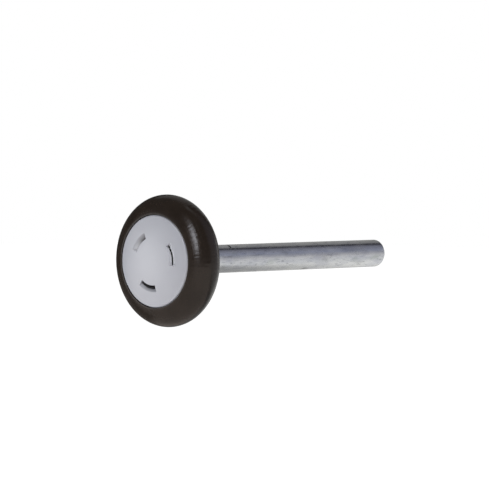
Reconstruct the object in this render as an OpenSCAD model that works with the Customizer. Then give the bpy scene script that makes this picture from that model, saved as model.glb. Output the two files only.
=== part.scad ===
// Garage door roller: a round-treaded nylon tyre on a shielded ball bearing, with a snap-in
// cap over the bearing, on a plain steel stem that slides in the sleeve of a door hinge.
//
// Frame: millimetres, origin at the centre of the wheel. The wheel turns about Y. The stem
// leaves the wheel towards +Y, the cap faces -Y, and +Z is up.
//
// A turned piece is drawn as a half section whose first coordinate is the radius and whose
// second is the place along Y. An angle round the axle counts from +X towards +Z.

/* [Tyre] */
// Outside diameter of the tread
tyre_d = 46; // [44:0.5:50]
// Radius of the rounded tread, seen in section
crown_r = 5.7; // [5.2:0.1:6]
// Radius that blends the tread into each side face
shoulder_r = 9; // [8.5:0.5:11]
// Thickness of the front wall that the cap snaps behind
front_wall_t = 1; // [0.8:0.1:1.3]
// Depth of the pocket behind the front wall, where the cap's barbs lie
barb_pocket_h = 0.9; // [0.85:0.05:1.2]
// Width of the step that the bearing's outer ring seats against
seat_step = 2.3; // [1.5:0.1:2.4]
// Thickness of the rear lip, behind the bearing
rear_lip_t = 0.8; // [0.6:0.1:1.5]
// Overhang of the rear lip that keeps the bearing in its seat
rear_lip_h = 0.5; // [0.3:0.1:0.6]

/* [Cap] */
// Diameter of the cap
cap_d = 32; // [30:0.5:33]
// Height of the dome at the middle, above the cap's edge
dome_h = 1.4; // [1:0.1:2]
// Thickness of the domed plate
cap_t = 1.2; // [1:0.1:1.5]
// Width of the flat seat under the cap's edge
cap_seat_w = 1.8; // [1.2:0.2:2.4]
// Bevel round the cap's front edge
cap_bevel = 0.3; // [0.2:0.05:0.4]
// How far the cap's edge lies behind the tyre's front face
cap_inset = 0.1; // [0:0.05:0.3]
// Gap round the cap
cap_gap = 0.2; // [0.1:0.05:0.3]

/* [Cap slots] */
// Number of slots, each with a snap leg under its inner side
slot_count = 3; // [2:1:4]
// Angle of the first slot's middle
slot_turn = 15.5; // [0:0.5:60]
// Angle that a slot spans
slot_span = 46; // [40:1:54]
// Radius of a slot's straight inner wall
slot_in_r = 8.4; // [8.2:0.1:8.6]
// Width of the gap that goes right through
slot_gap = 0.65; // [0.5:0.05:0.8]
// Radius of a slot's outer edge, where its ramp starts down from the face
slot_out_r = 10.6; // [10.4:0.1:10.8]
// How far the ramp goes down before it ends at the gap
slot_ramp_h = 0.85; // [0.7:0.05:0.9]
// Angle that a snap leg spans
leg_span = 34; // [20:1:38]
// Thickness of a snap leg
leg_t = 1; // [0.8:0.05:1.2]
// How far a barb hooks outwards
barb_w = 0.7; // [0.5:0.05:0.8]
// Height of a barb
barb_h = 0.55; // [0.4:0.05:0.6]
// Free play between a leg or barb and the wall that it hooks
snap_play = 0.1; // [0.05:0.05:0.15]

/* [Bearing] */
// Bore
bore_d = 10; // [9:0.5:10]
// Outside diameter
bearing_d = 30; // [30:0.5:31]
// Width
bearing_w = 9; // [8.8:0.1:9.2]
// Chamfer on the rings' corners
ring_chamfer = 0.6; // [0.3:0.1:0.8]
// Pitch circle diameter of the balls
pitch_d = 20; // [19.8:0.1:20.2]
// Ball diameter
ball_d = 4.762; // [4.6:0.05:4.8]
// Number of balls
ball_count = 8; // [6:1:8]
// Angle of the first ball
ball_turn = 12; // [0:1:45]
// Width of the open gap between the two rings' shoulders
ring_gap = 3; // [2.8:0.1:3.2]
// Groove radius as a share of the ball diameter
conformity = 0.52; // [0.515:0.005:0.53]
// Free play between a ball and each groove
ball_play = 0.02; // [0.01:0.01:0.04]

/* [Shields] */
// Sheet thickness of a shield
shield_t = 0.3; // [0.2:0.05:0.35]
// How far a shield lies in from the rings' faces
shield_inset = 0.35; // [0.3:0.05:0.5]
// Height of the step in the outer ring's shoulder that a shield lies against
shield_step = 0.9; // [0.7:0.1:1.1]
// Depth of the groove that a shield is crimped into
shield_groove_h = 0.35; // [0.25:0.05:0.5]
// Gap between a shield and the inner ring
shield_gap = 0.2; // [0.15:0.05:0.3]
// Depth of the bend round a shield's inner edge
shield_bend_h = 0.3; // [0.2:0.05:0.4]

/* [Cage] */
// Sheet thickness of the cage
cage_t = 0.4; // [0.3:0.05:0.45]
// Gap between the cage ribbon and the shoulders of both rings
cage_gap = 0.4; // [0.3:0.05:0.6]
// Gap between a ball and its pocket
pocket_gap = 0.12; // [0.08:0.02:0.16]
// Diameter of a rivet's shank
rivet_d = 0.8; // [0.6:0.1:0.9]
// Diameter of a rivet's head
rivet_head_d = 1.4; // [1.2:0.1:1.6]
// Height of a rivet's head
rivet_head_h = 0.3; // [0.2:0.05:0.4]

/* [Shaft] */
// Stem diameter over its plain length
shaft_d = 10; // [9:0.5:10]
// Overall length of the stem, from its peened head to its free end
shaft_len = 115; // [100:1:180]
// Bevel on the free end
tip_bevel = 1; // [0.6:0.1:1.5]
// How far the formed collar behind the bearing stands out past the bore
collar_h = 1.5; // [1:0.1:2]
// Length of the formed collar
collar_len = 1.5; // [1:0.1:2]
// Thickness of the washer under the peened head
washer_t = 0.5; // [0.4:0.05:0.6]
// Room that a snap leg has to bend inwards, before it meets the washer
leg_room = 0.8; // [0.6:0.05:0.9]
// How far the peened head stands out past the bore
head_out = 0.9; // [0.7:0.1:1.2]
// Height of the peened head
head_h = 0.9; // [0.7:0.1:1.1]

/* [Nick in the shaft] */
// Place of the nick along the stem, from the wheel's middle
nick_y = 28.7; // [20:0.1:60]
// Angle of the nick round the stem
nick_turn = 63; // [0:1:180]
// Slant of the nick across the stem
nick_slant = 9; // [0:1:60]
// Length of the edge that made the nick
nick_len = 2.6; // [1:0.1:3]
// Depth of the nick
nick_depth = 0.2; // [0.1:0.02:0.3]
// Radius of the edge that made the nick
nick_edge_r = 0.6; // [0.3:0.05:0.8]

/* [Hidden] */

$fn = 144;
// Overshoot of a cut past the surface that it opens
over = 1;

// Places along Y, from the front of the wheel to the back
tyre_w = cap_inset + cap_t + front_wall_t + barb_pocket_h + bearing_w + rear_lip_t;
tyre_face_y = tyre_w / 2;
cap_edge_y = cap_inset - tyre_face_y;
cap_seat_y = cap_edge_y + cap_t;
pocket_y = cap_seat_y + front_wall_t;
bearing_front_y = pocket_y + barb_pocket_h;
bearing_y = bearing_front_y + bearing_w / 2;
bearing_rear_y = bearing_front_y + bearing_w;
washer_front_y = bearing_front_y - washer_t;
head_front_y = washer_front_y - head_h;
tip_y = head_front_y + shaft_len;

// Radii of the tyre
tyre_r = tyre_d / 2;
crown_x = tyre_r - crown_r;
shoulder_rise = shoulder_r - tyre_face_y;
shoulder_x = crown_x - sqrt(pow(shoulder_r - crown_r, 2) - pow(shoulder_rise, 2));
blend_x = crown_x + crown_r * (crown_x - shoulder_x) / (shoulder_r - crown_r);
wall_hole_r = slot_in_r + snap_play;
seat_r = bearing_d / 2;
barb_pocket_r = seat_r - seat_step;
cap_bore_r = cap_d / 2 + cap_gap;

// Radii of the bearing
bore_r = bore_d / 2;
pitch_r = pitch_d / 2;
ball_r = ball_d / 2;
groove_r = conformity * ball_d;
inner_shoulder_r = pitch_r - ring_gap / 2;
outer_shoulder_r = pitch_r + ring_gap / 2;
inner_groove_x = pitch_r - ball_r - ball_play + groove_r;
outer_groove_x = pitch_r + ball_r + ball_play - groove_r;
recess_r = outer_shoulder_r + shield_step;
recess_depth = shield_inset + shield_t;
recess_y = bearing_w / 2 - recess_depth;
shield_in_r = inner_shoulder_r + shield_gap;
shield_out_r = recess_r + shield_groove_h;
cage_in_r = inner_shoulder_r + cage_gap;
cage_out_r = outer_shoulder_r - cage_gap;
pocket_in_r = ball_r + pocket_gap;
pocket_out_r = pocket_in_r + cage_t;

// Radii of the stem's head, washer and collar
washer_r = slot_in_r - leg_t - leg_room;
head_r = bore_r + head_out;
collar_r = bore_r + collar_h;

// The cap's dome is part of a sphere through the cap's edge and the dome's middle
cap_r = cap_d / 2;
dome_r = (pow(cap_r, 2) + pow(dome_h, 2)) / (2 * dome_h);
dome_y = cap_edge_y - dome_h + dome_r;
ramp_top_y = dome_y - sqrt(pow(dome_r, 2) - pow(slot_out_r, 2));
ramp_foot_x = slot_in_r + slot_gap;
ramp_foot_y = ramp_top_y + slot_ramp_h;
barb_y = pocket_y + snap_play / 2;
leg_end_y = barb_y + barb_h;

// Turns a half section round the axle
module turned() rotate([-90, 0, 0]) rotate_extrude() children();

// Turns a half section through an angle, evenly to both sides of the middle
module turned_part(middle, span)
    rotate([0, -middle - span / 2, 0]) rotate([-90, 0, 0]) rotate_extrude(angle = span) children();

// Mirrors a half section to the front of its middle plane where side is -1
module facing(side) mirror([0, side < 0 ? 1 : 0]) children();

// A rectangle in the half section, from one corner to the other
module band(r1, y1, r2, y2) translate([r1, y1]) square([r2 - r1, y2 - y1]);

// Puts its children on the axle's circle of radius r, at an angle
module at(angle, r, y) rotate([0, -angle, 0]) translate([r, y, 0]) children();

// Angle of ball n, and of the rivet between ball n and the next
function ball_angle(n) = ball_turn + (n - 1) * 360 / ball_count;
function rivet_angle(n) = ball_angle(n + 0.5);

// The tread's crown, the shoulders tangent to it, and the straight side faces that they run out on
module tyre_outline() {
    translate([crown_x, 0]) circle(crown_r);
    intersection() {
        translate([shoulder_x, shoulder_rise]) circle(shoulder_r, $fn = 288);
        translate([shoulder_x, -shoulder_rise]) circle(shoulder_r, $fn = 288);
        band(shoulder_x - over, -tyre_face_y, blend_x, tyre_face_y);
    }
    band(wall_hole_r, -tyre_face_y, shoulder_x, tyre_face_y);
}

// Room inside the tyre: the cap's seat, the hole in the front wall, the barbs' pocket and the bearing's seat
module tyre_room() {
    band(wall_hole_r - over, -tyre_face_y - over, cap_bore_r, cap_seat_y);
    band(wall_hole_r - over, pocket_y, barb_pocket_r, tyre_face_y + over);
    band(wall_hole_r - over, bearing_front_y, seat_r, bearing_rear_y);
    band(wall_hole_r - over, bearing_front_y, seat_r - rear_lip_h, tyre_face_y + over);
    polygon([
        [seat_r - rear_lip_h - over, tyre_face_y + over],
        [seat_r - rear_lip_h, tyre_face_y - rear_lip_h],
        [seat_r + over, tyre_face_y + over]
    ]);
}

module tyre() color([0.18, 0.16, 0.15]) turned() difference() {
    tyre_outline();
    tyre_room();
}

// The domed plate, even in thickness, with a flat seat under its edge and a bevel round its face
module cap_plate() turned() difference() {
    intersection() {
        translate([0, dome_y]) circle(dome_r, $fn = 720);
        band(0, cap_edge_y - dome_h - over, cap_r, cap_seat_y);
        polygon([
            [0, cap_edge_y - dome_h - cap_r],
            [cap_r, cap_edge_y + cap_bevel],
            [cap_r, cap_seat_y],
            [0, cap_seat_y]
        ]);
    }
    intersection() {
        translate([0, dome_y]) circle(dome_r - cap_t, $fn = 720);
        band(0, cap_edge_y - dome_h, cap_r - cap_seat_w, cap_seat_y + over);
    }
}

// What a slot takes out: a straight wall on its inner side, a ramp on its outer side, and a gap
// between them that goes right through. The ramp's line runs on past the face by its own length.
module slot_cut(middle) turned_part(middle, slot_span) polygon([
    [slot_in_r, ramp_top_y - slot_ramp_h],
    [2 * slot_out_r - ramp_foot_x, ramp_top_y - slot_ramp_h],
    [ramp_foot_x, ramp_foot_y],
    [ramp_foot_x, ramp_foot_y + over],
    [slot_in_r, ramp_foot_y + over]
]);

// A snap leg hangs from the plate under the slot's inner wall, and its barb hooks behind the tyre's wall
module snap_leg(middle) turned_part(middle, leg_span) intersection() {
    polygon([
        [slot_in_r - leg_t, dome_y - dome_r],
        [slot_in_r, dome_y - dome_r],
        [slot_in_r, barb_y],
        [slot_in_r + barb_w, barb_y],
        [slot_in_r, leg_end_y],
        [slot_in_r - leg_t, leg_end_y]
    ]);
    translate([0, dome_y]) circle(dome_r - cap_t / 2, $fn = 720);
}

module cap() color([0.74, 0.75, 0.78]) {
    difference() {
        cap_plate();
        for (n = [0 : slot_count - 1]) slot_cut(slot_turn + n * 360 / slot_count);
    }
    for (n = [0 : slot_count - 1]) snap_leg(slot_turn + n * 360 / slot_count);
}

// Outline of a bearing ring before its groove is cut, with chamfers on the corners away from the balls
module ring_blank(r1, r2, chamfer_r) difference() {
    band(r1, bearing_front_y, r2, bearing_rear_y);
    for (y = [bearing_front_y, bearing_rear_y])
        translate([chamfer_r, y]) rotate(45) square(ring_chamfer * sqrt(2), center = true);
}

// Both recesses of the outer ring, where the shields lie, with the grooves that they are crimped into
module shield_recesses() for (side = [-1, 1]) translate([0, bearing_y]) facing(side) {
    band(outer_shoulder_r - over, recess_y, recess_r, bearing_w / 2 + over);
    band(outer_shoulder_r - over, recess_y, shield_out_r, recess_y + shield_t);
}

module bearing_outer_ring() color([0.66, 0.67, 0.69]) turned() difference() {
    ring_blank(outer_shoulder_r, seat_r, seat_r);
    translate([outer_groove_x, bearing_y]) circle(groove_r);
    shield_recesses();
}

module bearing_inner_ring() color([0.66, 0.67, 0.69]) turned() difference() {
    ring_blank(bore_r, inner_shoulder_r, bore_r);
    translate([inner_groove_x, bearing_y]) circle(groove_r);
}

// A ball, or the room for one, with its poles towards the front and back of the wheel
module round_at(n, y, r) at(ball_angle(n), pitch_r, y) rotate([-90, 0, 0]) sphere(r, $fn = 48);

module ball(n) color([0.8, 0.81, 0.83]) round_at(n, bearing_y, ball_r);

// Half of the ribbon cage: flat lands between the balls and a cupped pocket over each. side is -1
// for the front half and 1 for the rear half.
module cage_half(side) color([0.72, 0.7, 0.66]) translate([0, bearing_y, 0]) difference() {
    intersection() {
        turned() facing(side) band(cage_in_r, 0, cage_out_r, pocket_out_r + over);
        union() {
            turned() facing(side) band(cage_in_r - over, 0, cage_out_r + over, cage_t);
            for (n = [1 : ball_count]) round_at(n, 0, pocket_out_r);
        }
    }
    for (n = [1 : ball_count]) round_at(n, 0, pocket_in_r);
    for (n = [1 : ball_count]) at(rivet_angle(n), pitch_r, 0) rotate([90, 0, 0])
        cylinder(h = 4 * cage_t, d = rivet_d, center = true);
}

module cage_front() cage_half(-1);
module cage_rear() cage_half(1);

// A rivet fills its hole through both halves and has a head on each side
module cage_rivet(n) color([0.62, 0.6, 0.57]) at(rivet_angle(n), pitch_r, bearing_y) rotate([90, 0, 0]) {
    cylinder(h = 2 * cage_t, d = rivet_d, center = true);
    for (side = [0, 1]) mirror([0, 0, side]) translate([0, 0, cage_t])
        cylinder(h = rivet_head_h, d1 = rivet_head_d, d2 = rivet_d);
}

// A shield is a thin pressed ring: its outer edge sits in the outer ring's groove and its inner
// edge is bent towards the balls, clear of the inner ring
module shield(side) color([0.58, 0.6, 0.62]) turned() translate([0, bearing_y]) facing(side) {
    band(shield_in_r, recess_y, shield_out_r, recess_y + shield_t);
    band(shield_in_r, recess_y - shield_bend_h, shield_in_r + shield_t, recess_y + shield_t);
}

module front_shield() shield(-1);
module rear_shield() shield(1);

// A shallow scar across the stem, as wide and deep as the round edge that made it
module nick_cut() at(nick_turn, shaft_d / 2 - nick_depth + nick_edge_r, nick_y)
    rotate([nick_slant, 0, 0]) cylinder(h = nick_len, r = nick_edge_r, center = true);

// The stem: peened head, the length inside the bearing, the formed collar and the plain stem
module shaft() color([0.68, 0.69, 0.71]) difference() {
    turned() polygon([
        [0, head_front_y],
        [head_r - head_h / 2, head_front_y],
        [head_r, head_front_y + head_h / 2],
        [head_r, washer_front_y],
        [bore_r, washer_front_y],
        [bore_r, bearing_rear_y],
        [collar_r - collar_len / 4, bearing_rear_y],
        [collar_r, bearing_rear_y + collar_len / 4],
        [collar_r, bearing_rear_y + collar_len * 3 / 4],
        [collar_r - collar_len / 4, bearing_rear_y + collar_len],
        [shaft_d / 2, bearing_rear_y + collar_len],
        [shaft_d / 2, tip_y - tip_bevel],
        [shaft_d / 2 - tip_bevel, tip_y],
        [0, tip_y]
    ]);
    nick_cut();
}

module head_washer() color([0.6, 0.6, 0.58]) turned()
    band(bore_r, washer_front_y, washer_r, bearing_front_y);

tyre();
cap();
bearing_outer_ring();
bearing_inner_ring();
for (n = [1 : ball_count]) {
    ball(n);
    cage_rivet(n);
}
cage_front();
cage_rear();
front_shield();
rear_shield();
shaft();
head_washer();
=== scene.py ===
# Garage door roller: a round-treaded nylon wheel moulded over a shielded ball bearing, with a
# snap-in cap and a zinc-plated stem. Lengths are in metres. The wheel turns about Y, the stem
# leaves it towards +Y, the cap faces -Y and +Z is up.
from math import acos, atan2, cos, pi, radians, sin, sqrt

import bmesh
import bpy
import numpy as np
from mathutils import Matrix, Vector


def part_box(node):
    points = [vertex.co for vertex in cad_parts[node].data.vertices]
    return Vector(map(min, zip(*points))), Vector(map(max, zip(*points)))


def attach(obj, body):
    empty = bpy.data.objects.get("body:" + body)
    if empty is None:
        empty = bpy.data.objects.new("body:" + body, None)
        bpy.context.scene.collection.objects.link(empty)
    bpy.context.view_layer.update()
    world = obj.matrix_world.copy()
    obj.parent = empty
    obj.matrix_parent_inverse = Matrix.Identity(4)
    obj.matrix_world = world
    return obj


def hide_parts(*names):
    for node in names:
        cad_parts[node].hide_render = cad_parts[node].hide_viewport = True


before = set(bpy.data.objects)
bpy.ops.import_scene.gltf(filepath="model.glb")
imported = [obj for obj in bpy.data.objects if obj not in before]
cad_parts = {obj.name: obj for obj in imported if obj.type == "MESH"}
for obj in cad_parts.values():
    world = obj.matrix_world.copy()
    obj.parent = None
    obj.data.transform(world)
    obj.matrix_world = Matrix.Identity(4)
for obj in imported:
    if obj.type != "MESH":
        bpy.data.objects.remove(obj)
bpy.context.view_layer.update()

# ---------------------------------------------------------------------------------------------
# Camera: a long lens almost level with the stem, so that the cap is seen half from the side and
# the stem runs away to the right.
# ---------------------------------------------------------------------------------------------
eye_azimuth = radians(44.768)
eye_elevation = radians(2.081)
eye_distance = 1.07857
aim = Vector((0, 0.038882, 0.004786))
eye = eye_distance * Vector((
    sin(eye_azimuth) * cos(eye_elevation),
    -cos(eye_azimuth) * cos(eye_elevation),
    sin(eye_elevation),
))
lens = bpy.data.cameras.new("camera")
lens.lens = 229.15
lens.sensor_width = 36
lens.clip_end = 50
camera = bpy.data.objects.new("camera", lens)
camera.location = eye
camera.rotation_euler = (aim - eye).to_track_quat("-Z", "Y").to_euler()
bpy.context.scene.collection.objects.link(camera)
bpy.context.scene.camera = camera

# ---------------------------------------------------------------------------------------------
# Bearing rings: an outer and an inner ring of hardened steel, turned and then ground, each with
# a groove that the balls run in. The outer ring is held in the tyre, the inner ring on the stem.
# ---------------------------------------------------------------------------------------------
mm = 0.001
ring_steps = 288
ring_rounding = 0.12 * mm

outer_low, outer_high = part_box("bearing_outer_ring")
inner_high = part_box("bearing_inner_ring")[1]
ball_low, ball_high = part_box("ball_1")
bearing_front_y, bearing_rear_y = outer_low.y, outer_high.y
bearing_y = (bearing_front_y + bearing_rear_y) / 2
bearing_w = bearing_rear_y - bearing_front_y
seat_r = outer_high.z
inner_shoulder_r = inner_high.z
bore_r = 5 * mm
ball_r = (ball_high.y - ball_low.y) / 2
ball_x = (ball_low.x + ball_high.x) / 2
ball_z = (ball_low.z + ball_high.z) / 2
pitch_r = sqrt(ball_x**2 + ball_z**2)
outer_shoulder_r = 2 * pitch_r - inner_shoulder_r
ring_chamfer = 0.6 * mm
groove_r = 0.52 * 2 * ball_r
groove_play = 0.02 * mm

shield_t = 0.3 * mm
shield_inset = 0.35 * mm
shield_groove_h = 0.35 * mm
shield_recess_r = outer_shoulder_r + 0.9 * mm


def rounded(corners, bends=5):
    """An outline through corners given as (radius, y, rounding). A rounded corner becomes the arc
    that touches both its sides, with a short straight lead before it and after it."""
    corners = np.array(corners, float)
    points = []
    for before, corner, after in zip(np.roll(corners, 1, 0), corners, np.roll(corners, -1, 0)):
        place, rounding = corner[:2], corner[2]
        if rounding == 0:
            points.append([place])
            continue
        back = (before[:2] - place) / np.linalg.norm(before[:2] - place)
        ahead = (after[:2] - place) / np.linalg.norm(after[:2] - place)
        half = acos(back @ ahead) / 2
        reach = rounding * cos(half) / sin(half)
        centre = place + (back + ahead) / np.linalg.norm(back + ahead) * rounding / sin(half)
        start, end = place + back * reach - centre, place + ahead * reach - centre
        first = atan2(start[1], start[0])
        turn = (atan2(end[1], end[0]) - first + pi) % (2 * pi) - pi
        angles = first + turn * np.linspace(0, 1, bends + 1)
        arc_points = centre + rounding * np.stack([np.cos(angles), np.sin(angles)], 1)
        lead = abs(turn) * rounding / bends
        points.append(np.vstack([
            arc_points[0] + back * lead, arc_points, arc_points[-1] + ahead * lead,
        ]))
    return np.vstack(points)


def arc(centre_r, centre_y, radius, start, end, steps):
    """Points of an arc: its centre plus radius times (cos, sin) of an angle that goes evenly from
    start to end."""
    angles = np.linspace(start, end, steps + 1)
    return np.stack([centre_r + radius * np.cos(angles), centre_y + radius * np.sin(angles)], 1)


def edge_share(outline):
    """How sharp an outline is at each point, from 0 to 1: the angle turned there over the length
    around it, counted outwards only. An arc of the full edge's radius or less counts as 1."""
    full_edge_r = 0.25 * mm
    before = outline - np.roll(outline, 1, 0)
    after = np.roll(outline, -1, 0) - outline
    cross = before[:, 0] * after[:, 1] - before[:, 1] * after[:, 0]
    turned = np.arctan2(cross, (before * after).sum(1))
    length = (np.linalg.norm(before, axis=1) + np.linalg.norm(after, axis=1)) / 2
    facing = np.sign(turned.sum())
    return np.clip(facing * turned / np.maximum(length, 1e-9) * full_edge_r, 0, 1)


def swept(outline, turns, closed_outline=False, closed_turn=False):
    """A patch: an outline of (radius, y) turned round the axle. A point lies at radius times
    (cos, sin) of its turn in X and Z, and at the outline's own y."""
    count, steps = len(outline), len(turns)
    points = np.empty((steps, count, 3))
    points[:, :, 0] = np.cos(turns)[:, None] * outline[:, 0]
    points[:, :, 1] = outline[:, 1]
    points[:, :, 2] = np.sin(turns)[:, None] * outline[:, 0]
    row = np.arange(steps if closed_turn else steps - 1)[:, None] * count
    next_row = (row + count) % (steps * count)
    column = np.arange(count if closed_outline else count - 1)[None, :]
    next_column = (column + 1) % count
    faces = np.stack([row + column, next_row + column, next_row + next_column, row + next_column], -1)
    edges = np.tile(edge_share(outline), steps)
    return points.reshape(-1, 3), faces.reshape(-1, 4).tolist(), edges


def full_turn(steps):
    """Angles of one full turn, evenly spaced, without the last one that would meet the first."""
    return np.arange(steps) * 2 * pi / steps


def piece(name, patches, material, body, nodes, sharp=40, marks=()):
    """One object from patches of points, faces and edge shares: they are put side by side, welded
    where they meet, and their faces are turned outwards. sharp is the angle in degrees from which
    an edge is drawn hard. marks are further shares of the points, each with its name."""
    weld_reach = 2e-7
    starts = np.cumsum([0] + [len(points) for points, _, _ in patches])
    faces = [[start + corner for corner in face] for start, (_, found, _) in zip(starts, patches)
             for face in found]
    mesh = bpy.data.meshes.new(name)
    mesh.from_pydata(np.vstack([points for points, _, _ in patches]), [], faces)
    for label, shares in (("edge", np.concatenate([shares for _, _, shares in patches])), *marks):
        mesh.attributes.new(label, "FLOAT", "POINT").data.foreach_set("value", shares)
    work = bmesh.new()
    work.from_mesh(mesh)
    bmesh.ops.remove_doubles(work, verts=work.verts, dist=weld_reach)
    bmesh.ops.recalc_face_normals(work, faces=work.faces)
    work.to_mesh(mesh)
    work.free()
    mesh.shade_smooth()
    mesh.set_sharp_from_angle(angle=radians(sharp))
    mesh.materials.append(material)
    made = bpy.data.objects.new(name, mesh)
    bpy.context.scene.collection.objects.link(made)
    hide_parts(*nodes)
    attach(made, body)
    return made


def plug(tree, socket, value):
    """Links an input socket from an output socket, or gives it a plain value."""
    if isinstance(value, bpy.types.NodeSocket):
        tree.links.new(value, socket)
    else:
        socket.default_value = value


def node(tree, kind, settings=None, **inputs):
    """Adds a shader node. settings are its properties; inputs are its sockets by name, with _ for
    a space."""
    made = tree.nodes.new("ShaderNode" + kind)
    for key, value in (settings or {}).items():
        setattr(made, key, value)
    for key, value in inputs.items():
        plug(tree, made.inputs[key.replace("_", " ")], value)
    return made


def carried(tree, name):
    """Gives the share of this name that a mesh carries at its points."""
    return node(tree, "Attribute", {"attribute_name": name}).outputs["Fac"]


def maths(tree, operation, *values):
    """Adds a Math node and gives its result. Each value is a socket or a number."""
    made = tree.nodes.new("ShaderNodeMath")
    made.operation = operation
    for socket, value in zip(made.inputs, values):
        plug(tree, socket, value)
    return made.outputs[0]


def mixed(tree, share, first, second):
    """Adds a colour mix and gives its result: first where share is 0, second where it is 1."""
    made = tree.nodes.new("ShaderNodeMix")
    made.data_type = "RGBA"
    factor, first_in, second_in = made.inputs[0], made.inputs[6], made.inputs[7]
    plug(tree, factor, share)
    for socket, colour in ((first_in, first), (second_in, second)):
        plug(tree, socket, (*colour, 1) if isinstance(colour, tuple) else colour)
    return made.outputs[2]


def between(tree, share, low, high):
    """Adds a Map Range node that takes 0 to 1 into low to high, and gives its result."""
    return node(tree, "MapRange", Value=share, To_Min=low, To_Max=high).outputs[0]


def new_group(name, inputs, outputs):
    """A shader node group with named inputs, each with its usual value (a number, or three for a
    vector), and number outputs. Gives its tree, its input node and its output node."""
    tree = bpy.data.node_groups.new(name, "ShaderNodeTree")
    for label, usual in inputs.items():
        kind = "NodeSocketVector" if isinstance(usual, tuple) else "NodeSocketFloat"
        tree.interface.new_socket(label, in_out="INPUT", socket_type=kind).default_value = usual
    for label in outputs:
        tree.interface.new_socket(label, in_out="OUTPUT", socket_type="NodeSocketFloat")
    return tree, tree.nodes.new("NodeGroupInput"), tree.nodes.new("NodeGroupOutput")


def placed(tree, group, **inputs):
    """Puts a node group into a material, with its own values."""
    return node(tree, "Group", {"node_tree": group}, **inputs)


# Mottle: soft cloudy patches, from 0 to 1. Grain is how many patches lie along each metre of X, Y
# and Z, so that unlike numbers draw them out into streaks.
mottle, given, result = new_group(
    "mottle", {"Grain": (1000.0, 1000.0, 1000.0), "Detail": 3.0, "Low": 0.35, "High": 0.65}, ["Share"]
)
place = node(mottle, "TexCoord").outputs["Object"]
stretched = node(mottle, "VectorMath", {"operation": "MULTIPLY"})
mottle.links.new(place, stretched.inputs[0])
mottle.links.new(given.outputs["Grain"], stretched.inputs[1])
cloud = node(mottle, "TexNoise", Vector=stretched.outputs[0], Scale=1.0, Detail=given.outputs["Detail"])
limited = node(mottle, "MapRange", Value=cloud.outputs[0], From_Min=given.outputs["Low"],
               From_Max=given.outputs["High"])
mottle.links.new(limited.outputs[0], result.inputs["Share"])

# Turned lines: the fine rings that a tool leaves round the axle, as a height from 0 to 1. Rings is
# how many lie in each metre of the surface.
turned_lines, given, result = new_group("turned lines", {"Rings": 9000.0}, ["Height"])
place = node(turned_lines, "TexCoord").outputs["Object"]
parts = node(turned_lines, "SeparateXYZ", Vector=place)
squares = maths(turned_lines, "ADD", maths(turned_lines, "POWER", parts.outputs[0], 2),
                maths(turned_lines, "POWER", parts.outputs[2], 2))
section = node(turned_lines, "CombineXYZ", X=maths(turned_lines, "SQRT", squares), Y=parts.outputs[1])
rings = node(turned_lines, "TexNoise", Vector=section.outputs[0], Scale=given.outputs["Rings"], Detail=2.0)
turned_lines.links.new(rings.outputs[0], result.inputs["Height"])

# Cross marks: short fine marks that lie across the tread, as a height from 0 to 1. Count is how
# many there are to each radian of turn, and a fixed number lies along each metre of Y.
marks_per_metre = 220.0
cross_marks, given, result = new_group("cross marks", {"Count": 30.0}, ["Height"])
place = node(cross_marks, "TexCoord").outputs["Object"]
parts = node(cross_marks, "SeparateXYZ", Vector=place)
flat = node(cross_marks, "CombineXYZ", X=parts.outputs[0], Y=parts.outputs[2])
facing = node(cross_marks, "VectorMath", {"operation": "NORMALIZE"})
cross_marks.links.new(flat.outputs[0], facing.inputs[0])
spread = node(cross_marks, "VectorMath", {"operation": "SCALE"})
cross_marks.links.new(facing.outputs[0], spread.inputs[0])
cross_marks.links.new(given.outputs["Count"], spread.inputs["Scale"])
sides = node(cross_marks, "SeparateXYZ", Vector=spread.outputs[0])
drawn = node(cross_marks, "CombineXYZ", X=sides.outputs[0], Y=sides.outputs[1],
             Z=maths(cross_marks, "MULTIPLY", parts.outputs[1], marks_per_metre))
marks = node(cross_marks, "TexNoise", Vector=drawn.outputs[0], Scale=1.0, Detail=2.0)
cross_marks.links.new(marks.outputs[0], result.inputs["Height"])

# Edge wear: where handling and assembly have rubbed an outward edge. It follows the edge share
# that each mesh carries, broken up by a mottle.
edge_wear, given, result = new_group(
    "edge wear", {"Grain": (900.0, 900.0, 900.0), "Amount": 1.0}, ["Worn"]
)
sharpness = carried(edge_wear, "edge")
broken = placed(edge_wear, mottle, Grain=given.outputs["Grain"], Low=0.3, High=0.6).outputs[0]
rubbed = maths(edge_wear, "MULTIPLY", sharpness, broken)
rubbed = maths(edge_wear, "MULTIPLY", rubbed, given.outputs["Amount"])
edge_wear.links.new(maths(edge_wear, "MINIMUM", rubbed, 1.0), result.inputs["Worn"])


def new_finish(name, **values):
    """A material with one Principled shader, whose steady values are set on its own sockets."""
    material = bpy.data.materials.new(name)
    material.use_nodes = True
    tree = material.node_tree
    shader = tree.nodes["Principled BSDF"]
    for key, value in values.items():
        shader.inputs[key.replace("_", " ")].default_value = value
    return material, tree, shader


def feed(tree, shader, base, roughness, height=None, depth=0.0):
    """Links a changing colour and roughness to a Principled shader and, where there is one, a
    height. depth is how far a height of 1 stands out, in metres."""
    tree.links.new(base, shader.inputs["Base Color"])
    tree.links.new(roughness, shader.inputs["Roughness"])
    if height is not None:
        bump = node(tree, "Bump", Height=height, Strength=1.0, Distance=depth)
        tree.links.new(bump.outputs[0], shader.inputs["Normal"])


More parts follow.
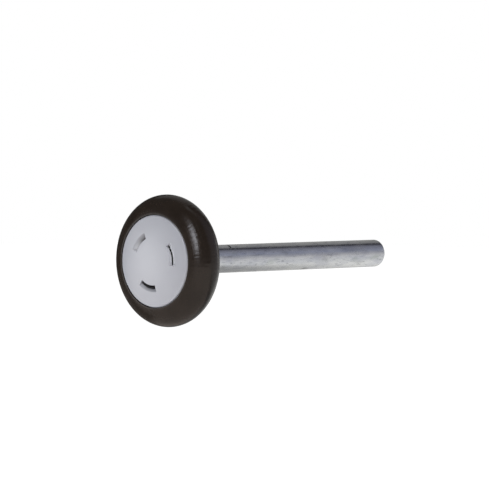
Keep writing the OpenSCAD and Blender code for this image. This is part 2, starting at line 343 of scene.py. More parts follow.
def ground_steel(name, dark, light, smooth, rough, rings, depth):
    """Turned or ground steel: fine rings in its height and roughness, a cloudy colour and
    brighter rubbed edges."""
    material, tree, shader = new_finish(name, Metallic=1.0)
    lines = placed(tree, turned_lines, Rings=rings).outputs[0]
    clouds = placed(tree, mottle, Grain=(700.0, 700.0, 700.0)).outputs[0]
    worn = placed(tree, edge_wear, Amount=1.2).outputs[0]
    base = mixed(tree, worn, mixed(tree, clouds, dark, light), (0.78, 0.78, 0.79))
    feed(tree, shader, base, between(tree, lines, smooth, rough), lines, depth)
    return material


ring_steel = ground_steel(
    "ring_steel", (0.50, 0.505, 0.52), (0.60, 0.60, 0.61), 0.18, 0.34, 12000.0, 2e-6
)

outer_groove_x = pitch_r + ball_r + groove_play - groove_r
inner_groove_x = pitch_r - ball_r - groove_play + groove_r


def ring_outline(shoulder_r, groove_x, far_r, recess):
    """Outline of a whole ring: its groove's arc, then one side as corners, and the same side
    mirrored. recess lists the corners between the shoulder and the side face."""
    half_w = bearing_w / 2
    outward = 1 if far_r > shoulder_r else -1
    groove_half_w = sqrt(groove_r**2 - (shoulder_r - groove_x) ** 2)
    spread = atan2(groove_half_w, outward * (shoulder_r - groove_x))
    groove = arc(0, 0, groove_r, -spread, spread, 20) * (outward, 1) + (groove_x, 0)
    rear = [
        (shoulder_r, groove_half_w + 2 * ring_rounding, 0),
        *recess,
        (far_r - outward * ring_chamfer, half_w, ring_rounding),
        (far_r, half_w - ring_chamfer, ring_rounding),
    ]
    front = [(radius, -y, rounding) for radius, y, rounding in reversed(rear)]
    around = rounded(rear + front)
    return np.vstack([groove, around]) + (0, bearing_y)


side_y = bearing_w / 2
recess_y = side_y - shield_inset - shield_t
outer_recess = [
    (outer_shoulder_r, recess_y, ring_rounding),
    (shield_recess_r + shield_groove_h, recess_y, 0),
    (shield_recess_r + shield_groove_h, recess_y + shield_t, 0),
    (shield_recess_r, recess_y + shield_t, 0),
    (shield_recess_r, side_y, ring_rounding),
]
inner_recess = [(inner_shoulder_r, side_y, ring_rounding)]

outer_ring = piece(
    "outer_ring",
    [swept(ring_outline(outer_shoulder_r, outer_groove_x, seat_r, outer_recess),
           full_turn(ring_steps), True, True)],
    ring_steel, "wheel", ["bearing_outer_ring"],
)
inner_ring = piece(
    "inner_ring",
    [swept(ring_outline(inner_shoulder_r, inner_groove_x, bore_r, inner_recess),
           full_turn(ring_steps), True, True)],
    ring_steel, "stem", ["bearing_inner_ring"],
)

# ---------------------------------------------------------------------------------------------
# Balls: eight polished balls of bearing steel. They roll between the grooves of the two rings,
# and the cage keeps them evenly apart.
# ---------------------------------------------------------------------------------------------
ball_count = 8
ball_steps = 72

ball_steel, tree, shader = new_finish("ball_steel", Metallic=1.0)
haze = placed(tree, mottle, Grain=(2500.0, 2500.0, 2500.0), Low=0.4, High=0.7).outputs[0]
polish = mixed(tree, haze, (0.74, 0.745, 0.76), (0.66, 0.665, 0.68))
feed(tree, shader, polish, between(tree, haze, 0.05, 0.12))

pole_to_pole = arc(0, 0, ball_r, -pi / 2, pi / 2, ball_steps // 2)
pole_to_pole[[0, -1], 0] = 0
for number in range(1, ball_count + 1):
    low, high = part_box(f"ball_{number}")
    points, faces, edges = swept(pole_to_pole, full_turn(ball_steps), False, True)
    ball = piece(
        f"rolling_ball_{number}", [(points + np.array((low + high) / 2), faces, edges)],
        ball_steel, f"ball_{number}", [f"ball_{number}"],
    )

# ---------------------------------------------------------------------------------------------
# Cage: two ribbons of pressed steel, one on each side of the balls, cupped round every ball and
# riveted together between them. The CAD pieces keep their shape and get their steel here.
# ---------------------------------------------------------------------------------------------
def pressed_steel(name, dark, light, grain):
    """Sheet steel as it leaves the press: cloudy, a little warm, and dull."""
    material, tree, shader = new_finish(name, Metallic=1.0)
    clouds = placed(tree, mottle, Grain=(grain,) * 3, Detail=5.0).outputs[0]
    peel = placed(tree, mottle, Grain=(6 * grain,) * 3, Low=0.2, High=0.8).outputs[0]
    tint = mixed(tree, clouds, dark, light)
    feed(tree, shader, tint, between(tree, clouds, 0.3, 0.45), peel, 1.5e-6)
    return material


cage_steel = pressed_steel("cage_steel", (0.44, 0.42, 0.38), (0.56, 0.54, 0.50), 900.0)
rivet_steel = pressed_steel("rivet_steel", (0.38, 0.37, 0.35), (0.50, 0.48, 0.45), 1600.0)


def dress(name, material):
    """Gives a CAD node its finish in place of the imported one."""
    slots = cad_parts[name].data.materials
    slots.clear()
    slots.append(material)


dress("cage_front", cage_steel)
dress("cage_rear", cage_steel)
for number in range(1, ball_count + 1):
    dress(f"cage_rivet_{number}", rivet_steel)

# ---------------------------------------------------------------------------------------------
# Shields: two thin rings of pressed sheet steel that keep dirt off the balls. Their outer edge is
# crimped into the outer ring and their inner edge bends in, just clear of the inner ring.
# ---------------------------------------------------------------------------------------------
shield_gap = 0.2 * mm
shield_bend_h = 0.3 * mm
shield_rounding = 0.1 * mm
shield_bend_rounding = 0.05 * mm
shield_step_r = shield_recess_r - 1.2 * mm
shield_step_h = 0.12 * mm

shield_steel = ground_steel(
    "shield_steel", (0.40, 0.405, 0.415), (0.50, 0.505, 0.515), 0.28, 0.42, 5000.0, 2e-6
)

shield_in_r = inner_shoulder_r + shield_gap
shield_out_r = shield_recess_r + shield_groove_h
shield_low_y, shield_high_y = recess_y, recess_y + shield_t
for side, name in ((-1, "front_shield"), (1, "rear_shield")):
    outline = rounded([
        (shield_in_r, shield_low_y - shield_bend_h, 0),
        (shield_in_r + shield_t, shield_low_y - shield_bend_h, 0),
        (shield_in_r + shield_t, shield_low_y, shield_bend_rounding),
        (shield_out_r, shield_low_y, 0),
        (shield_out_r, shield_high_y, 0),
        (shield_step_r + shield_step_h, shield_high_y, shield_rounding),
        (shield_step_r, shield_high_y - shield_step_h, shield_rounding),
        (shield_in_r, shield_high_y - shield_step_h, shield_rounding),
    ])
    outline = outline * (1, side) + (0, bearing_y)
    shield = piece(
        name + "_plate", [swept(outline, full_turn(ring_steps), True, True)],
        shield_steel, "wheel", [name],
    )

# ---------------------------------------------------------------------------------------------
# Tyre: one thick ring of dark brown-black nylon moulded over the bearing, with a round tread and
# a satin skin. Inside are the cap's seat, the thin front wall and the pocket for the cap's barbs.
# ---------------------------------------------------------------------------------------------
tyre_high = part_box("tyre")[1]
cap_low, cap_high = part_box("cap")
tyre_r = tyre_high.z
tyre_face_y = tyre_high.y
tyre_steps = 400
crown_r = 5.7 * mm
shoulder_r = 9 * mm
cap_gap = 0.2 * mm
slot_in_r = 8.4 * mm
snap_play = 0.1 * mm
cap_r = cap_high.z
cap_t = 1.2 * mm
cap_sink = 0.1 * mm
cap_edge_y = cap_sink - tyre_face_y
cap_seat_y = cap_edge_y + cap_t
front_wall_t = 1 * mm
pocket_y = cap_seat_y + front_wall_t
barb_pocket_r = seat_r - 2.3 * mm
rear_lip_h = 0.5 * mm
moulded_rounding = 0.15 * mm
lip_rounding = 0.05 * mm

crown_x = tyre_r - crown_r
shoulder_rise = shoulder_r - tyre_face_y
shoulder_x = crown_x - sqrt((shoulder_r - crown_r) ** 2 - shoulder_rise**2)
blend_angle = atan2(shoulder_rise, crown_x - shoulder_x)
cap_bore_r = cap_r + cap_gap
wall_hole_r = slot_in_r + snap_play
mouth_angle = acos((cap_bore_r + lip_rounding - shoulder_x) / shoulder_r)
mouth_y = shoulder_rise - shoulder_r * sin(mouth_angle)

tread = np.vstack([
    arc(shoulder_x, shoulder_rise, shoulder_r, -mouth_angle, -blend_angle, 24)[:-1],
    arc(crown_x, 0, crown_r, -blend_angle, blend_angle, 72),
    arc(shoulder_x, -shoulder_rise, shoulder_r, blend_angle, pi / 2, 28)[1:],
])
room = rounded([
    (shoulder_x, tyre_face_y, 0),
    (seat_r, tyre_face_y, 0),
    (seat_r - rear_lip_h, tyre_face_y - rear_lip_h, moulded_rounding),
    (seat_r - rear_lip_h, bearing_rear_y, 0),
    (seat_r, bearing_rear_y, 0),
    (seat_r, bearing_front_y, 0),
    (barb_pocket_r, bearing_front_y, moulded_rounding),
    (barb_pocket_r, pocket_y, moulded_rounding),
    (wall_hole_r, pocket_y, moulded_rounding),
    (wall_hole_r, cap_seat_y, moulded_rounding),
    (cap_bore_r, cap_seat_y, moulded_rounding),
    (cap_bore_r, mouth_y, 0),
])[1:-1]
lip_turn = arc(cap_bore_r + lip_rounding, mouth_y + lip_rounding, lip_rounding, pi, 1.5 * pi, 5)[:-1]
tyre_outline = np.vstack([tread, room, lip_turn])

tyre_nylon, tree, shader = new_finish("tyre_nylon", Metallic=0.0, Specular_IOR_Level=0.32)
clouds = placed(tree, mottle, Grain=(110.0, 110.0, 110.0), Detail=4.0, Low=0.3, High=0.7).outputs[0]
skin = placed(tree, mottle, Grain=(1100.0, 1100.0, 1100.0), Detail=3.0, Low=0.2, High=0.8).outputs[0]
rings = placed(tree, turned_lines, Rings=1500.0).outputs[0]
base = mixed(tree, clouds, (0.0165, 0.0112, 0.0080), (0.0240, 0.0165, 0.0120))
gloss = maths(tree, "ADD", between(tree, clouds, 0.17, 0.24), between(tree, rings, -0.04, 0.04))
crossing = placed(tree, cross_marks, Count=20.0).outputs[0]
height = maths(tree, "ADD", skin, maths(tree, "MULTIPLY", rings, 2.0))
height = maths(tree, "ADD", height, maths(tree, "MULTIPLY", crossing, 8.0))
feed(tree, shader, base, gloss, height, 12e-6)

tyre = piece(
    "nylon_tyre", [swept(tyre_outline, full_turn(tyre_steps), True, True)],
    tyre_nylon, "wheel", ["tyre"],
)

# ---------------------------------------------------------------------------------------------
# Stem: a drawn steel bar, zinc plated, pushed through the bearing. A formed collar stops it behind
# the inner ring, and its front end is peened over a washer. A nick marks it close to the wheel.
# ---------------------------------------------------------------------------------------------
shaft_low, shaft_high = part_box("shaft")
washer_low, washer_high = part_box("head_washer")
shaft_r = bore_r
head_front_y, tip_y = shaft_low.y, shaft_high.y
washer_front_y = washer_low.y
collar_r = shaft_high.z
collar_len = 1.5 * mm
head_r = 5.9 * mm
head_h = washer_front_y - head_front_y
tip_bevel = 1 * mm
tip_rounding = 1.3 * mm
stem_steps = 400

nick_y = 28.7 * mm
nick_turn = radians(63)
nick_slant = radians(9)
nick_len = 2.6 * mm
nick_depth = 0.2 * mm
nick_edge_r = 0.6 * mm
nick_fade = 0.5 * mm
nick_rim = 0.02 * mm
nick_rim_w = 0.25 * mm
end_dark_len = 1.5 * mm
end_dark_fade = 0.8 * mm

collar_y = bearing_rear_y + collar_len
front_end = rounded([
    (0, head_front_y, 0),
    (head_r - head_h / 2, head_front_y, 0.5 * mm),
    (head_r, head_front_y + head_h / 2, 0.25 * mm),
    (head_r, washer_front_y, 0.08 * mm),
    (bore_r, washer_front_y, 0),
    (bore_r, bearing_rear_y, 0),
    (collar_r - collar_len / 4, bearing_rear_y, 0.15 * mm),
    (collar_r, bearing_rear_y + collar_len / 4, 0.25 * mm),
    (collar_r, collar_y - collar_len / 4, 0.25 * mm),
    (collar_r - collar_len / 4, collar_y, 0.15 * mm),
    (shaft_r, collar_y, 0.2 * mm),
    (shaft_r, tip_y, 0),
])[:-1]
free_end = rounded([
    (shaft_r, collar_y, 0),
    (shaft_r, tip_y - tip_bevel, tip_rounding),
    (shaft_r - tip_bevel, tip_y, 0.3 * mm),
    (0, tip_y, 0),
], 8)[1:]
coarse = 1.5 * mm
fine = 0.05 * mm
nick_zone = nick_len / 2 + nick_fade
plain_y = np.concatenate([
    np.arange(front_end[-1, 1] + coarse, nick_y - nick_zone, coarse),
    np.arange(nick_y - nick_zone, nick_y + nick_zone, fine),
    np.arange(nick_y + nick_zone, free_end[0, 1] - coarse / 2, coarse),
])
plain = np.stack([np.full_like(plain_y, shaft_r), plain_y], 1)
stem_outline = np.vstack([front_end, plain, free_end])


def nicked(points):
    """Presses the nick into the stem. A round edge laid across the stem cuts every point that lies
    above it down to its own surface, fading out towards both ends, and raises a low rim beside it."""
    out = points @ np.array((cos(nick_turn), 0, sin(nick_turn)))
    across = points @ np.array((-sin(nick_turn), 0, cos(nick_turn)))
    along = points[:, 1] - nick_y
    length = across * cos(nick_slant) + along * sin(nick_slant)
    width = along * cos(nick_slant) - across * sin(nick_slant)
    ends = np.clip((nick_len / 2 + nick_fade / 2 - np.abs(length)) / nick_fade, 0, 1)
    ends = ends**2 * (3 - 2 * ends)
    round_edge = np.sqrt(np.clip(nick_edge_r**2 - width**2, 0, None))
    cut = np.clip(out - (shaft_r - nick_depth + nick_edge_r - round_edge), 0, None) * (out > 0)
    cut *= (np.abs(width) < nick_edge_r) * ends
    beside = np.exp(-(((np.abs(width) - nick_edge_r) / nick_rim_w) ** 2))
    rim = nick_rim * ends * beside * (out > 0)
    shift = rim - cut
    moved = points + shift[:, None] * np.array((cos(nick_turn), 0, sin(nick_turn)))
    return moved, np.clip(cut / nick_depth, 0, 1)


points, faces, edges = swept(stem_outline, full_turn(stem_steps), False, True)
on_plain = (points[:, 1] > nick_y - nick_zone) & (points[:, 1] < nick_y + nick_zone)
pressed, depth_share = nicked(points[on_plain])
points[on_plain] = pressed
nick_shares = np.zeros(len(points))
nick_shares[on_plain] = depth_share

# Stains, each darker than the zinc round it: small spots, a thin streak, a strong smudge on the
# underside past the middle, and longer faint smudges towards the tip
stains = (
    # y and length in mm, turn and width in degrees, strength
    (23.5, 0.9, -37, 9, 0.5), (26.0, 1.8, 11, 4, 0.4), (40.0, 4.5, 13, 2.5, 0.5),
    (55.0, 1.8, 20, 7, 0.4), (68.0, 2.2, -68, 10, 0.8), (76.5, 2.0, -12, 15, 0.4),
    (93.0, 6.0, 20, 10, 0.4), (96.0, 3.0, -34, 7, 0.35), (105.0, 7.0, 62, 14, 0.3),
)
turn = np.degrees(np.arctan2(points[:, 2], points[:, 0]))
stain_shares = np.zeros(len(points))
for stain_y, stain_len, stain_turn, stain_w, strength in stains:
    along, around = (points[:, 1] - stain_y * mm) / (stain_len * mm), (turn - stain_turn) / stain_w
    stain_shares = np.maximum(stain_shares, strength * np.exp(-(along**2 + around**2)))
# The stem is darker over its last stretch before the tip
end_shares = np.clip((points[:, 1] - tip_y + end_dark_len) / end_dark_fade, 0, 1)

stem_zinc, tree, shader = new_finish("stem_zinc", Metallic=1.0)
cloud = placed(tree, mottle, Grain=(420.0, 130.0, 420.0), Detail=5.0, Low=0.34, High=0.66).outputs[0]
streak = placed(tree, mottle, Grain=(1900.0, 260.0, 1900.0), Detail=3.0, Low=0.3, High=0.7).outputs[0]
speck = placed(tree, mottle, Grain=(1700.0, 420.0, 1700.0), Detail=2.0, Low=0.58, High=0.70).outputs[0]
stain = placed(tree, mottle, Grain=(240.0, 110.0, 240.0), Detail=2.0, Low=0.60, High=0.74).outputs[0]
worn = placed(tree, edge_wear, Amount=0.8).outputs[0]
dent = carried(tree, "nick")
smudge = carried(tree, "stain")
end = carried(tree, "end")
zinc = mixed(tree, cloud, (0.44, 0.45, 0.49), (0.64, 0.645, 0.64))
zinc = mixed(tree, maths(tree, "MULTIPLY", streak, 0.55), zinc, (0.68, 0.685, 0.69))
zinc = mixed(tree, maths(tree, "MULTIPLY", stain, 0.55), zinc, (0.40, 0.43, 0.39))
zinc = mixed(tree, maths(tree, "MULTIPLY", speck, 0.45), zinc, (0.26, 0.27, 0.30))
zinc = mixed(tree, worn, zinc, (0.70, 0.70, 0.70))
smudged = maths(tree, "MULTIPLY", smudge, between(tree, streak, 0.6, 1.2))
zinc = mixed(tree, smudged, zinc, (0.20, 0.20, 0.20))
zinc = mixed(tree, maths(tree, "MULTIPLY", end, 0.7), zinc, (0.30, 0.30, 0.30))
pressed_in = maths(tree, "MINIMUM", maths(tree, "MULTIPLY", dent, 2.0), 0.95)
zinc = mixed(tree, pressed_in, zinc, (0.04, 0.04, 0.045))
dull = maths(tree, "ADD", between(tree, cloud, 0.15, 0.24), between(tree, speck, 0.0, 0.2))
relief = maths(tree, "ADD", streak, maths(tree, "MULTIPLY", cloud, 2.0))
feed(tree, shader, zinc, dull, relief, 6e-6)

stem = piece(
    "steel_stem", [(points, faces, edges)], stem_zinc, "stem", ["shaft"],
    marks=[("nick", nick_shares), ("stain", stain_shares), ("end", end_shares)],
)

# ---------------------------------------------------------------------------------------------
# Washer: a punched zinc-plated ring under the peened head, which spreads the head's grip over the
# inner ring. Its edges are a little rounded by the punch.
# ---------------------------------------------------------------------------------------------
washer_r = washer_high.z
punched = 0.08 * mm
washer_zinc = ground_steel(
    "washer_zinc", (0.48, 0.48, 0.49), (0.58, 0.58, 0.58), 0.3, 0.45, 4000.0, 2e-6
)
washer = piece(
    "zinc_washer",
    [swept(rounded([
        (bore_r, washer_front_y, punched),
        (washer_r, washer_front_y, punched),
        (washer_r, washer_high.y, punched),
        (bore_r, washer_high.y, punched),
    ]), full_turn(ring_steps), True, True)],
    washer_zinc, "stem", ["head_washer"],
)

# ---------------------------------------------------------------------------------------------
# Cap: a thin domed disc of pale grey plastic, moulded in one piece with three slots and, under the
# straight side of each slot, a snap leg whose barb hooks behind the tyre's front wall.
# ---------------------------------------------------------------------------------------------
cap_front_y, leg_end_y = cap_low.y, cap_high.y
dome_h = cap_edge_y - cap_front_y
cap_bevel = 0.3 * mm
cap_seat_w = 1.8 * mm
slot_count = 3
slot_turn = radians(15.5)
slot_span = radians(46)
slot_out_r = 10.6 * mm
slot_gap = 0.65 * mm
slot_ramp_h = 0.85 * mm
slot_rounding = 0.25 * mm
leg_span = radians(34)
leg_t = 1 * mm
barb_w = 0.7 * mm
barb_h = 0.55 * mm
rim_lead = 0.15 * mm
turn_step = radians(1)

dome_r = (cap_r**2 + dome_h**2) / (2 * dome_h)
dome_y = cap_front_y + dome_r
under_r = dome_r - cap_t
leg_in_r = slot_in_r - leg_t
barb_y = leg_end_y - barb_h


def dome(sphere_r, start_r, end_r, steps):
    """Points of a dome's section between two radii: y is the dome centre's less the root of the
    sphere's radius squared less the point's radius squared."""
    radii = np.linspace(start_r, end_r, steps + 1)
    return np.stack([radii, dome_y - np.sqrt(sphere_r**2 - radii**2)], 1)


def under_y(radius):
    """Height of the underside at a radius."""
    return dome_y - sqrt(under_r**2 - radius**2)


def face_y(radius):
    """Height of the face at a radius."""
    return dome_y - sqrt(dome_r**2 - radius**2)


seat_in_r = cap_r - cap_seat_w
bevel_r = cap_r - cap_bevel
rim_start_r = bevel_r - rim_lead
gap_r = slot_in_r + slot_gap
ramp_foot_y = face_y(slot_out_r) + slot_ramp_h
opening_in_r = slot_in_r - 2 * slot_rounding
opening_out_r = slot_out_r + 2 * slot_rounding
face_middle = dome(dome_r, 0, opening_in_r, 20)
face_slot = dome(dome_r, opening_in_r, opening_out_r, 10)
face_rim = dome(dome_r, opening_out_r, rim_start_r, 12)
rim = rounded([
    (rim_start_r, face_y(rim_start_r), 0),
    (bevel_r, face_y(bevel_r), 0.12 * mm),
    (cap_r, cap_edge_y + cap_bevel, 0.12 * mm),
    (cap_r, cap_seat_y, 0.08 * mm),
    (seat_in_r, cap_seat_y, 0),
    (seat_in_r, under_y(seat_in_r), 0),
])
under_rim = dome(under_r, seat_in_r, gap_r, 12)
under_slot = dome(under_r, gap_r, slot_in_r, 3)
under_leg = dome(under_r, slot_in_r, leg_in_r, 4)
under_middle = dome(under_r, leg_in_r, 0, 16)
inner_wall = rounded([
    (opening_in_r, face_y(opening_in_r), 0),
    (slot_in_r, face_y(slot_in_r), slot_rounding),
    (slot_in_r, under_y(slot_in_r), 0),
])
ramp = rounded([
    (opening_out_r, face_y(opening_out_r), 0),
    (slot_out_r, face_y(slot_out_r), slot_rounding),
    (gap_r, ramp_foot_y, 0.06 * mm),
    (gap_r, under_y(gap_r), 0),
])
leg = np.array([
    under_leg[0],
    (slot_in_r, barb_y),
    (slot_in_r + barb_w, barb_y),
    (slot_in_r, leg_end_y),
    (leg_in_r, leg_end_y),
    under_leg[-1],
])


def turns_between(start, end):
    """Angles from start to end in steps of about one degree."""
    return np.linspace(start, end, max(2, int(round((end - start) / turn_step)) + 1))


def end_wall(loop, turn):
    """A flat wall at one angle, bounded by a closed loop of (radius, y) points."""
    points = np.stack([loop[:, 0] * cos(turn), loop[:, 1], loop[:, 0] * sin(turn)], 1)
    return points, [list(range(len(loop)))], np.zeros(len(loop))


all_round = [face_middle, np.vstack([face_rim, rim[1:], under_rim[1:]]), under_middle]
slot_loop = np.vstack([face_slot, ramp[1:], under_slot[1:-1], inner_wall[:0:-1]])
leg_loop = np.vstack([under_leg[:-1], leg[:0:-1]])
patches = []
for number in range(slot_count):
    middle = slot_turn + number * 2 * pi / slot_count
    slot_start, slot_end = middle - slot_span / 2, middle + slot_span / 2
    leg_start, leg_end = middle - leg_span / 2, middle + leg_span / 2
    next_start = slot_start + 2 * pi / slot_count
    stretches = (
        (slot_start, leg_start, [inner_wall, ramp, under_leg]),
        (leg_start, leg_end, [inner_wall, ramp, leg]),
        (leg_end, slot_end, [inner_wall, ramp, under_leg]),
        (slot_end, next_start, [face_slot, under_slot, under_leg]),
    )
    for start, end, lines in stretches:
        patches += [swept(line, turns_between(start, end)) for line in all_round + lines]
    patches += [end_wall(slot_loop, turn) for turn in (slot_start, slot_end)]
    patches += [end_wall(leg_loop, turn) for turn in (leg_start, leg_end)]
patches = [(points, faces, np.zeros(len(points))) for points, faces, _ in patches]


def slot_shares(points):
    """Three shares for each point in a slot, taken from its depth: its y less the dome's at the same
    radius, over the ramp's height. along goes from 0 to 1 towards the slot's upper right end.
    - depth, raised in the lower slot and towards the right slot's upper end, so that the black
      painted shade of the gap starts higher up the ramp there;
    - the shade share, painted shade that grows along each slot, most in the lower one, and is
      almost nothing in the right;
    - the light share, painted light that makes the walls paler: full in the right slot, falling
      along the others."""
    # Strengths of the painted shade in the right, lower and upper slots, and how fast it grows along each
    right_shade, lower_shade, upper_shade = 0.05, 8, 2.2
    lower_power, other_power = 3, 2
    lower_depth, right_depth, right_depth_rise = 1.65, 0.94, 0.3
    # Painted light on the walls of the lower and upper slots, before it falls along them
    other_light = 0.6
    shade_lean = radians(40)
    turn_margin = 1e-4

    radius = np.hypot(points[:, 0], points[:, 2])
    depth = points[:, 1] - (dome_y - np.sqrt(dome_r**2 - radius**2))
    turn = np.arctan2(points[:, 2], points[:, 0])
    third = 2 * pi / slot_count
    middle = slot_turn + np.round((turn - slot_turn) / third) * third
    beside = np.abs(turn - middle) < slot_span / 2 + turn_margin
    inside = beside & (radius > slot_in_r - slot_rounding) & (radius < slot_out_r + slot_rounding)
    depth_share = np.clip(depth / slot_ramp_h, 0, 2) * inside

    middle_r = (slot_in_r + slot_out_r) / 2
    across = (points[:, 0] - middle_r * np.cos(middle)) * cos(shade_lean)
    upward = (points[:, 2] - middle_r * np.sin(middle)) * sin(shade_lean)
    along = np.clip((across + upward) / (middle_r * slot_span) + 0.5, 0, 1)
    right, lower = np.cos(middle - slot_turn) > 0, np.sin(middle) < 0
    held = np.where(right, right_shade, np.where(lower, lower_shade, upper_shade))
    growth = along ** np.where(lower, lower_power, other_power)
    right_depths = right_depth + right_depth_rise * along**2
    depth_scale = np.where(lower, lower_depth, np.where(right, right_depths, 1))
    wall_light = np.where(right, 1, other_light * (1 - along))
    return (
        depth_share * depth_scale,
        np.clip(depth_share * held * growth, 0, 1),
        np.clip(depth_share, 0, 1) * wall_light,
    )


depths, slot_shades, painted_lights = slot_shares(np.vstack([points for points, _, _ in patches]))
cap_plastic, tree, shader = new_finish("cap_plastic", Metallic=0.0, Specular_IOR_Level=1.0)
clouds = placed(tree, mottle, Grain=(90.0, 90.0, 90.0), Detail=3.0, Low=0.1, High=0.9).outputs[0]
skin = placed(tree, mottle, Grain=(3200.0, 3200.0, 3200.0), Detail=2.0, Low=0.2, High=0.8).outputs[0]
plastic = mixed(tree, clouds, (0.420, 0.430, 0.482), (0.440, 0.449, 0.497))
# Painted light: the slot walls are painted far paler than the plastic, fully in the right slot, where
# light falls on them
painted_light = carried(tree, "painted_light")
plastic = mixed(tree, painted_light, plastic, (0.90, 0.91, 0.95))
# Painted shade: the plastic is painted nearly black deep in each slot's gap, and darker along the slots,
# growing towards their upper right ends, where shade falls
depth = carried(tree, "depth")
gap_shade = node(tree, "MapRange", Value=depth, From_Min=1.15, From_Max=1.3).outputs[0]
slot_shade = carried(tree, "slot_shade")
painted_shade = maths(tree, "MAXIMUM", gap_shade, maths(tree, "MULTIPLY", slot_shade, 0.8))
plastic = mixed(tree, painted_shade, plastic, (0.03, 0.03, 0.033))
feed(tree, shader, plastic, between(tree, clouds, 0.25, 0.28), skin, 0.6e-6)

cap = piece(
    "snap_cap", patches, cap_plastic, "wheel", ["cap"], sharp=30,
    marks=[("depth", depths), ("slot_shade", slot_shades), ("painted_light", painted_lights)],
)

# ---------------------------------------------------------------------------------------------
# Studio: a pale floor well below the roller, which is held up in the air, a white surround, soft
# lamps in front, and cards that only reflections see.
# ---------------------------------------------------------------------------------------------
floor_size = 8.0
floor_drop = 0.16
floor_glow = 0.70
white = (1.0, 1.0, 1.0, 1.0)


def seen_directly(tree):
    """1 for rays from the camera, off a mirror-like surface or through glass, else 0."""
    rays = node(tree, "LightPath").outputs
    glossy = maths(tree, "MAXIMUM", rays["Is Glossy Ray"], rays["Is Transmission Ray"])
    return maths(tree, "MAXIMUM", rays["Is Camera Ray"], glossy)


floor_paint, tree, shader = new_finish(
    "floor_paint", Base_Color=(0.8, 0.8, 0.8, 1), Roughness=0.9, Specular_IOR_Level=0.1
)
strength = maths(tree, "MULTIPLY", seen_directly(tree), floor_glow)
glow = node(tree, "Emission", Color=white, Strength=strength)
both = node(tree, "AddShader")
tree.links.new(shader.outputs[0], both.inputs[0])
tree.links.new(glow.outputs[0], both.inputs[1])
tree.links.new(both.outputs[0], tree.nodes["Material Output"].inputs["Surface"])

floor_mesh = bpy.data.meshes.new("floor")
half = floor_size / 2
floor_corners = [(-half, -half, 0), (half, -half, 0), (half, half, 0), (-half, half, 0)]
floor_mesh.from_pydata(floor_corners, [], [(0, 1, 2, 3)])
floor_mesh.materials.append(floor_paint)
floor = bpy.data.objects.new("floor", floor_mesh)
floor.location.z = -floor_drop
bpy.context.scene.collection.objects.link(floor)


def reflected_card(name, points, columns, glows):
    """A card from a grid of points, row by row, each with its own glow. Only reflections see it."""
    rows = len(points) // columns
    row = np.arange(rows - 1)[:, None] * columns
    column = np.arange(columns - 1)[None, :]
    start = row + column
    faces = np.stack([start, start + 1, start + columns + 1, start + columns], -1).reshape(-1, 4)
    mesh = bpy.data.meshes.new(name)
    mesh.from_pydata(points, [], faces.tolist())
    colours = np.hstack([glows, np.ones((len(points), 1))])
    mesh.attributes.new("glow", "FLOAT_COLOR", "POINT").data.foreach_set("color", colours.ravel())
    material = bpy.data.materials.new(name)
    material.use_nodes = True
    tree = material.node_tree
    tree.nodes.clear()
    tone = node(tree, "Attribute", {"attribute_name": "glow"}).outputs["Color"]
    node(tree, "OutputMaterial", Surface=node(tree, "Emission", Color=tone).outputs[0])
    mesh.materials.append(material)
    card = bpy.data.objects.new(name, mesh)
    bpy.context.scene.collection.objects.link(card)
    for kind in ("camera", "diffuse", "shadow", "transmission", "volume_scatter"):
        setattr(card, "visible_" + kind, False)


def tones_at(table, values):
    """Colours for an array of values, read between the rows of a table of value: colour."""
    rows = np.array(list(table.values()))
    return np.stack([np.interp(values, list(table), rows[:, channel]) for channel in range(3)], 1)


# The canopy: a wide tube round the stem's line, from beside the stem's tip to far behind it. It is
# grey-blue above, with a darker seam near the top, and cut flat just over the floor, where it is
# paler but for its near end, which is dimmed as a painted shadow of the wheel
canopy_r = 0.7
canopy_floor = 0.155
canopy_columns, canopy_rows = 239, 40
canopy_turns = np.linspace(-177, 180, canopy_columns)
canopy_ys = 0.1 + 2.1 * np.linspace(0, 1, canopy_rows) ** 2
turned = np.radians(canopy_turns)
reach = np.where(turned < 0, np.minimum(canopy_r, canopy_floor / np.abs(np.sin(turned) - 1e-9)), canopy_r)
canopy_points = np.stack([
    np.tile(reach * np.cos(turned), canopy_rows),
    np.repeat(canopy_ys, canopy_columns),
    np.tile(reach * np.sin(turned), canopy_rows),
], 1)
canopy_tones = {
    -177: (0.50, 0.50, 0.49), -145: (0.66, 0.66, 0.65), -120: (1.00, 1.00, 0.98), -95: (1.10, 1.10, 1.08),
    -70: (1.02, 1.02, 1.01), -50: (0.86, 0.87, 0.88), -33: (0.80, 0.81, 0.83), -15: (0.76, 0.76, 0.79),
    -5: (0.66, 0.66, 0.68), 5: (0.53, 0.53, 0.57), 16: (0.42, 0.43, 0.49), 32: (0.34, 0.36, 0.46),
    50: (0.31, 0.32, 0.39), 68: (0.22, 0.225, 0.275), 75: (0.15, 0.15, 0.18), 82: (0.04, 0.04, 0.05),
    92: (0.03, 0.03, 0.04), 98: (0.24, 0.24, 0.25), 110: (0.32, 0.32, 0.32), 180: (0.38, 0.38, 0.37),
}
canopy_glows = tones_at(canopy_tones, np.tile(canopy_turns, canopy_rows))
# Painted shadow of the wheel: the canopy's floor part is dimmed near the wheel
slanted_y = canopy_points[:, 1] + 0.3 * canopy_points[:, 0]
wheel_shadow = np.interp(slanted_y, [0.18, 0.20, 0.24, 0.27], [0.4, 0.45, 0.75, 1])
on_floor = canopy_points[:, 2] < -0.9 * canopy_floor
canopy_glows *= np.where(on_floor, wheel_shadow, 1)[:, None]
reflected_card("canopy", canopy_points, canopy_columns, canopy_glows)

# The dark side of the studio, round the camera: part of a globe round the wheel and a carpet below
# it, with a tall bright window in front, sharp on its right, and a soft one lower on the left
tall_glow = (9.8, 10.0, 10.8)
soft_glow = (3.1, 3.1, 3.1)


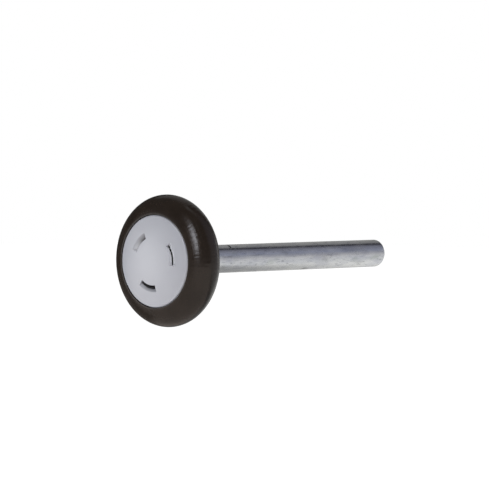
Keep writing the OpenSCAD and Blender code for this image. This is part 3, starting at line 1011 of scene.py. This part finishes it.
def window_glow(points):
    """Glow of both windows at points seen from the wheel, by azimuth and elevation in degrees. The
    tall one rises and falls in straight steps, the soft one is a bell."""
    azimuths = np.degrees(np.arctan2(points[:, 0], -points[:, 1]))
    elevations = np.degrees(np.arctan2(points[:, 2], np.hypot(points[:, 0], points[:, 1])))
    tall_across = np.interp(azimuths, [0, 12, 20, 23], [0, 1, 1, 0])
    tall_upward = np.interp(elevations, [3, 16, 29, 48], [0, 1, 1, 0])
    tall = tall_across * tall_upward
    soft = np.exp(-(((azimuths + 47) / 12) ** 2) - ((elevations + 1) / 9.5) ** 2)
    return tall[:, None] * tall_glow + soft[:, None] * soft_glow


globe_r = 1.7
globe_columns, globe_rows = 147, 46
globe_azimuths, globe_elevations = np.radians(np.meshgrid(
    np.linspace(-180, 112, globe_columns), np.linspace(-5, 85, globe_rows)
))
globe_points = globe_r * np.stack([
    np.cos(globe_elevations) * np.sin(globe_azimuths),
    -np.cos(globe_elevations) * np.cos(globe_azimuths),
    np.sin(globe_elevations),
], -1).reshape(-1, 3)
globe_tones = {-5: (0.26, 0.25, 0.25), 8: (0.16, 0.155, 0.16), 40: (0.10, 0.10, 0.10)}
globe_glows = tones_at(globe_tones, np.degrees(globe_elevations).ravel()) + window_glow(globe_points)
reflected_card("dark_side", globe_points, globe_columns, globe_glows)

# The carpet's rows lie closer together towards the wheel
carpet_columns, carpet_rows = 86, 60
carpet_len = 1.8
carpet_tone = (1.08, 0.97, 0.90)
carpet_xs, carpet_ys = np.meshgrid(
    np.linspace(-globe_r, globe_r, carpet_columns),
    -globe_r + carpet_len * np.linspace(0, 1, carpet_rows) ** 0.6,
)
carpet_zs = np.full(carpet_xs.size, -canopy_floor)
carpet_points = np.stack([carpet_xs.ravel(), carpet_ys.ravel(), carpet_zs], 1)
carpet_glows = np.interp(carpet_points[:, :1], [-0.2, 0.2], [0.6, 1.0]) * carpet_tone
reflected_card("carpet", carpet_points, carpet_columns, carpet_glows + window_glow(carpet_points))

# A dark wing close by the wheel on its left, paler at its foot
wing_x = -0.1
wing_ends = [-0.052, 0.11]
wing_ys, wing_zs = np.meshgrid(wing_ends, [-0.1, -0.035, -0.01, 0.1])
wing_points = np.stack([np.full(wing_ys.size, wing_x), wing_ys.ravel(), wing_zs.ravel()], 1)
wing_tones = {-0.035: (0.17, 0.16, 0.15), -0.01: (0.055, 0.055, 0.055)}
reflected_card("wing", wing_points, len(wing_ends), tones_at(wing_tones, wing_points[:, 2]))


def softbox(name, azimuth, elevation, distance, width, height, radiance):
    """A soft area lamp aimed at the wheel from an azimuth and an elevation in degrees, which
    reflections don't see. Its power is pi times its area times the radiance wanted."""
    lamp = bpy.data.lights.new(name, "AREA")
    lamp.shape = "RECTANGLE"
    lamp.size = width
    lamp.size_y = height
    lamp.energy = pi * width * height * radiance
    made = bpy.data.objects.new(name, lamp)
    azimuth, elevation = radians(azimuth), radians(elevation)
    made.location = distance * Vector((
        sin(azimuth) * cos(elevation), -cos(azimuth) * cos(elevation), sin(elevation),
    ))
    made.rotation_euler = (-made.location).to_track_quat("-Z", "Y").to_euler()
    made.visible_glossy = False
    bpy.context.scene.collection.objects.link(made)


softbox("key_softbox", 55, 45, 0.9, 0.30, 0.30, 10.0)
softbox("left_softbox", -50, -20, 0.33, 0.25, 0.08, 7.5)

world = bpy.data.worlds.new("studio")
bpy.context.scene.world = world
world.use_nodes = True
tree = world.node_tree
strength = between(tree, seen_directly(tree), 0.42, 1.0)
tree.nodes["Background"].inputs["Color"].default_value = white
tree.links.new(strength, tree.nodes["Background"].inputs["Strength"])

bpy.context.scene.view_settings.view_transform = "Standard"
